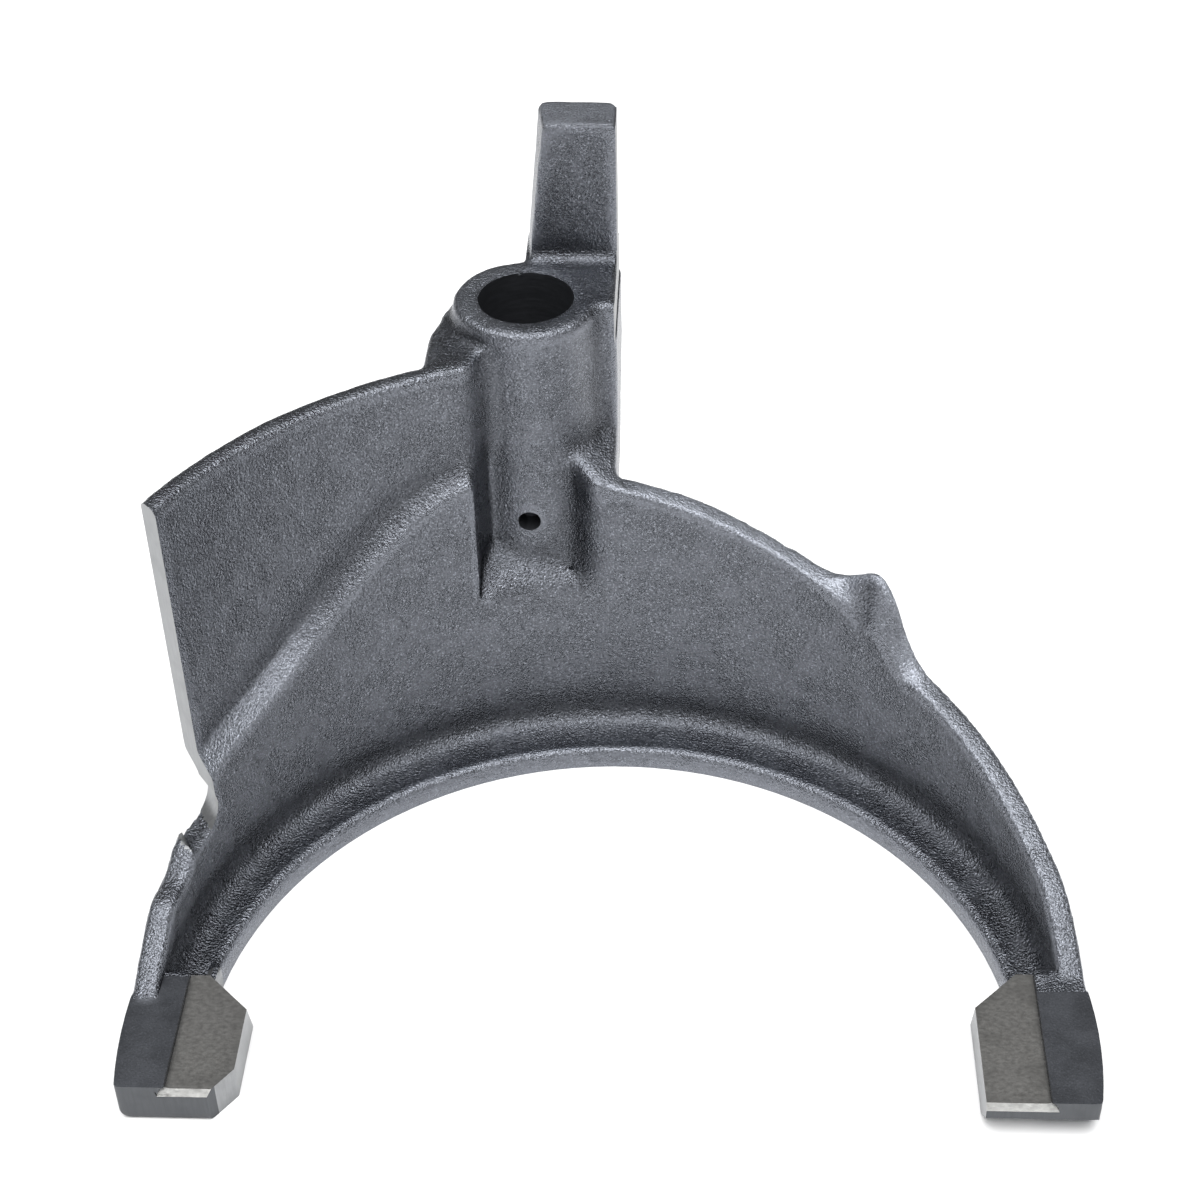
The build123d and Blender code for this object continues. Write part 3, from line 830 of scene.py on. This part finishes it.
def cast_skin_material(colour):
    """Blasted cast skin: dark metal with grain, specks of painted glint, painted highlight on the ridges,
    painted shade in the hollows, and trimmed edges lightened partly as trimmed metal and partly as painted
    highlight."""
    material, graph, shader = start_material("cast_skin")
    masks = dict([*graph.group("blasted grain").outputs.items(), *graph.group("edge wear").outputs.items()])
    base = blasted_base(graph, masks, colour, 0.86, 1.14, CAST_TINTS)
    trimmed = graph.attribute("trimmed")
    # Painted highlight and trimmed metal: the colour is lightened up to 3.6 times on the patches
    bright = graph.math("MULTIPLY", trimmed, graph.span(masks["Height"], 0.35, 0.6, 0.35, 0.9))
    graph.feed(shader.inputs["Base Color"], graph.mix(bright, base, rgba(colour, 3.6)))
    shader.inputs["Metallic"].default_value = 1.0
    rough = graph.span(masks["Mottle"], *MOTTLE_RANGE, 0.24, 0.30)
    rough = graph.math("ADD", rough, graph.math("MULTIPLY", trimmed, 0.22))
    graph.feed(shader.inputs["Roughness"], rough)
    add_bump(graph, shader, masks["Height"], 0.0004)
    return material


def strip_material(colour):
    """Smoother dark skin on the arms beside the wear faces."""
    material, graph, shader = start_material("smooth_strip")
    masks = graph.group("blasted grain").outputs
    base = blasted_base(graph, masks, colour, 0.55, 0.70, STRIP_TINTS)
    graph.feed(shader.inputs["Base Color"], base)
    shader.inputs["Metallic"].default_value = 0.85
    graph.feed(shader.inputs["Roughness"], graph.span(masks["Mottle"], *MOTTLE_RANGE, 0.42, 0.52))
    add_bump(graph, shader, masks["Height"], 0.00006)
    return material


def cut_material(name, colour, stretch, rough, stain):
    """Cut or ground metal with marks along one axis and faint stains."""
    material, graph, shader = start_material(name)
    marks = graph.group("cutter marks")
    graph.feed(marks.inputs["Place"], graph.stretched_place(stretch))
    light = graph.span(marks.outputs["Marks"], 0.25, 0.75)
    base = graph.mix(light, rgba(colour, 0.86), rgba(colour, 1.12))
    dull = graph.math("MULTIPLY", graph.span(marks.outputs["Stain"], 0.42, 0.7), stain)
    graph.feed(shader.inputs["Base Color"], graph.mix(dull, base, rgba(colour, 0.6)))
    shader.inputs["Metallic"].default_value = 0.9
    graph.feed(shader.inputs["Roughness"], graph.math("ADD", rough, graph.math("MULTIPLY", light, 0.12)))
    add_bump(graph, shader, marks.outputs["Marks"], 0.00002)
    return material


def bore_material(colour):
    """Wall of the bores, darkened to paint the shade inside them, with marks that run round them."""
    material, graph, shader = start_material("bore_wall")
    group = graph.group("cutter marks")
    graph.feed(group.inputs["Place"], graph.stretched_place((0.15, 0.15, 1.5)))
    marks = group.outputs["Marks"]
    # Painted shade: the colour is darkened to 0.35 to 0.7 of the skin's inside the bores
    graph.feed(shader.inputs["Base Color"], graph.mix(marks, rgba(colour, 0.35), rgba(colour, 0.7)))
    shader.inputs["Metallic"].default_value = 0.8
    graph.feed(shader.inputs["Roughness"], graph.span(marks, 0.3, 0.7, 0.35, 0.5))
    add_bump(graph, shader, marks, 0.00003)
    return material


# Cut finishes: name, setting of the colour, scale of the marks along X, Y and Z, roughness and stain
CUT_FINISHES = {
    PAD: ("ground_pad", "pad_colour", (0.6, 1.0, 1.0), 0.34, 0.5),
    CHAMFER: ("bright_chamfer", "chamfer_colour", (0.5, 1.0, 1.0), 0.30, 0.1),
    MILLED: ("milled_face", "milled_colour", (1.0, 1.0, 0.1), 0.36, 0.3),
    FRONT: ("tip_front", "front_colour", (1.0, 1.0, 0.1), 0.44, 0.3),
}


def casting_materials(settings):
    """The casting's materials, in the order of the finish numbers."""
    for build in (blasted_grain_group, edge_highlight_and_shade_group, cutter_marks_group):
        build()
    skin = settings.skin_colour
    made = {SKIN: cast_skin_material(skin), STRIP: strip_material(skin), BORE: bore_material(skin)}
    for finish, (name, colour, stretch, rough, stain) in CUT_FINISHES.items():
        made[finish] = cut_material(name, getattr(settings, colour), stretch, rough, stain)
    return [made[finish] for finish in sorted(made)]


# Operators


class FORK_OT_casting(bpy.types.Operator):
    """Makes the fork's casting from its solid, with its cast skin and machined faces"""

    bl_idname = "fork.casting"
    bl_label = "Casting"

    def execute(self, context):
        settings = context.scene.fork_casting
        mesh = sampled_copy(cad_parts["shift_fork"], settings.mesh_scale)
        if len(mesh.polygons) < FEWEST_FACES:
            raise RuntimeError("the casting came out empty")
        mesh.name = "fork_casting"
        finish = shape_casting(mesh, settings)
        store_relief(mesh, CLOSE_ROUNDS, "relief_close")
        store_relief(mesh, WIDE_ROUNDS, "relief_wide")
        mesh.materials.clear()
        for material in casting_materials(settings):
            mesh.materials.append(material)
        mesh.polygons.foreach_set("material_index", finish.astype(np.int32))
        mesh.shade_smooth()
        mesh.set_sharp_from_angle(angle=math.radians(SMOOTH_ANGLE))
        piece = bpy.data.objects.new("fork_casting", mesh)
        context.scene.collection.objects.link(piece)
        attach(piece, "root")
        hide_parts("shift_fork")
        return {"FINISHED"}


def add_floor(colour):
    """Square pale floor that scatters all its light."""
    half = FLOOR_HALF
    corners = [(-half, -half, 0), (half, -half, 0), (half, half, 0), (-half, half, 0)]
    mesh = bpy.data.meshes.new("floor")
    mesh.from_pydata(corners, [], [(0, 1, 2, 3)])
    floor = bpy.data.objects.new("floor", mesh)
    bpy.context.scene.collection.objects.link(floor)
    material, _, shader = start_material("pale_floor")
    shader.inputs["Base Color"].default_value = rgba(colour)
    shader.inputs["Roughness"].default_value = 1.0
    shader.inputs["Specular IOR Level"].default_value = 0.0
    mesh.materials.append(material)


def add_area_light(name, place, target, size, power):
    """Rectangular soft light at a place in metres, turned to a target."""
    light = bpy.data.lights.new(name, "AREA")
    light.shape = "RECTANGLE"
    light.size, light.size_y = size
    light.energy = power
    lamp = bpy.data.objects.new(name, light)
    lamp.location = place
    lamp.rotation_euler = (Vector(target) - Vector(place)).to_track_quat("-Z", "Y").to_euler()
    bpy.context.scene.collection.objects.link(lamp)
    return lamp


def add_surroundings(strength):
    """Even light of that strength on everything, from surroundings that look white to the camera."""
    world = bpy.data.worlds.new("studio")
    world.use_nodes = True
    graph = Graph(world.node_tree)
    back = world.node_tree.nodes["Background"]
    back.inputs["Color"].default_value = (1, 1, 1, 1)
    seen = graph.node("ShaderNodeLightPath").outputs["Is Camera Ray"]
    graph.feed(back.inputs["Strength"], graph.span(seen, 0.0, 1.0, strength, 1.0))
    bpy.context.scene.world = world


def add_camera():
    """Camera where the photograph was taken, in front of the arms and above them.

    It is tilted down by the pitch, turned about the upright by the yaw and about its view by the roll.
    """
    pitch, yaw, roll = (math.radians(angle) for angle in CAMERA_PITCH_YAW_ROLL)
    turn = Matrix.Rotation(yaw, 3, "Z")
    right = turn @ Vector((1, 0, 0))
    up = turn @ Vector((0, math.sin(pitch), math.cos(pitch)))
    look = turn @ Vector((0, math.cos(pitch), -math.sin(pitch)))
    x = math.cos(roll) * right + math.sin(roll) * up
    y = -math.sin(roll) * right + math.cos(roll) * up
    data = bpy.data.cameras.new("camera")
    data.sensor_width = SENSOR_WIDTH
    data.lens = FOCAL_LENGTH
    data.clip_start, data.clip_end = 0.01, 20.0
    camera = bpy.data.objects.new("camera", data)
    rotation = Matrix((x, y, -look)).transposed().to_4x4()
    camera.matrix_world = Matrix.Translation(CAMERA_PLACE) @ rotation
    bpy.context.scene.collection.objects.link(camera)
    bpy.context.scene.camera = camera


class FORK_OT_stage(bpy.types.Operator):
    """Makes the floor, the lights and the camera"""

    bl_idname = "fork.stage"
    bl_label = "Stage"

    def execute(self, context):
        settings = context.scene.fork_studio
        add_floor(settings.floor_colour)
        add_area_light("overhead", *OVERHEAD, settings.key_power)
        wash = add_area_light("floor_wash", *FLOOR_WASH, settings.floor_power)
        wash.visible_glossy = False
        add_surroundings(settings.sky_strength)
        context.scene.view_settings.view_transform = "Standard"
        add_camera()
        return {"FINISHED"}


class FORK_PT_panel(bpy.types.Panel):
    """Lists the fork's steps and settings."""

    bl_idname = "FORK_PT_panel"
    bl_label = "Shift fork"
    bl_space_type = "VIEW_3D"
    bl_region_type = "UI"
    bl_category = "Shift fork"

    def draw(self, context):
        for name, group in (("fork.casting", "fork_casting"), ("fork.stage", "fork_studio")):
            box = self.layout.box()
            settings = getattr(context.scene, group)
            for key in settings.__annotations__:
                box.prop(settings, key)
            box.operator(name)


CLASSES = (CastingSettings, StudioSettings, FORK_OT_casting, FORK_OT_stage, FORK_PT_panel)


def register():
    for cls in CLASSES:
        bpy.utils.register_class(cls)
    bpy.types.Scene.fork_casting = PointerProperty(type=CastingSettings)
    bpy.types.Scene.fork_studio = PointerProperty(type=StudioSettings)


def unregister():
    del bpy.types.Scene.fork_casting
    del bpy.types.Scene.fork_studio
    for cls in reversed(CLASSES):
        bpy.utils.unregister_class(cls)


def main():
    """Builds the fork and its stage."""
    register()
    bpy.ops.fork.casting()
    bpy.ops.fork.stage()


if __name__ == "__main__":
    main()
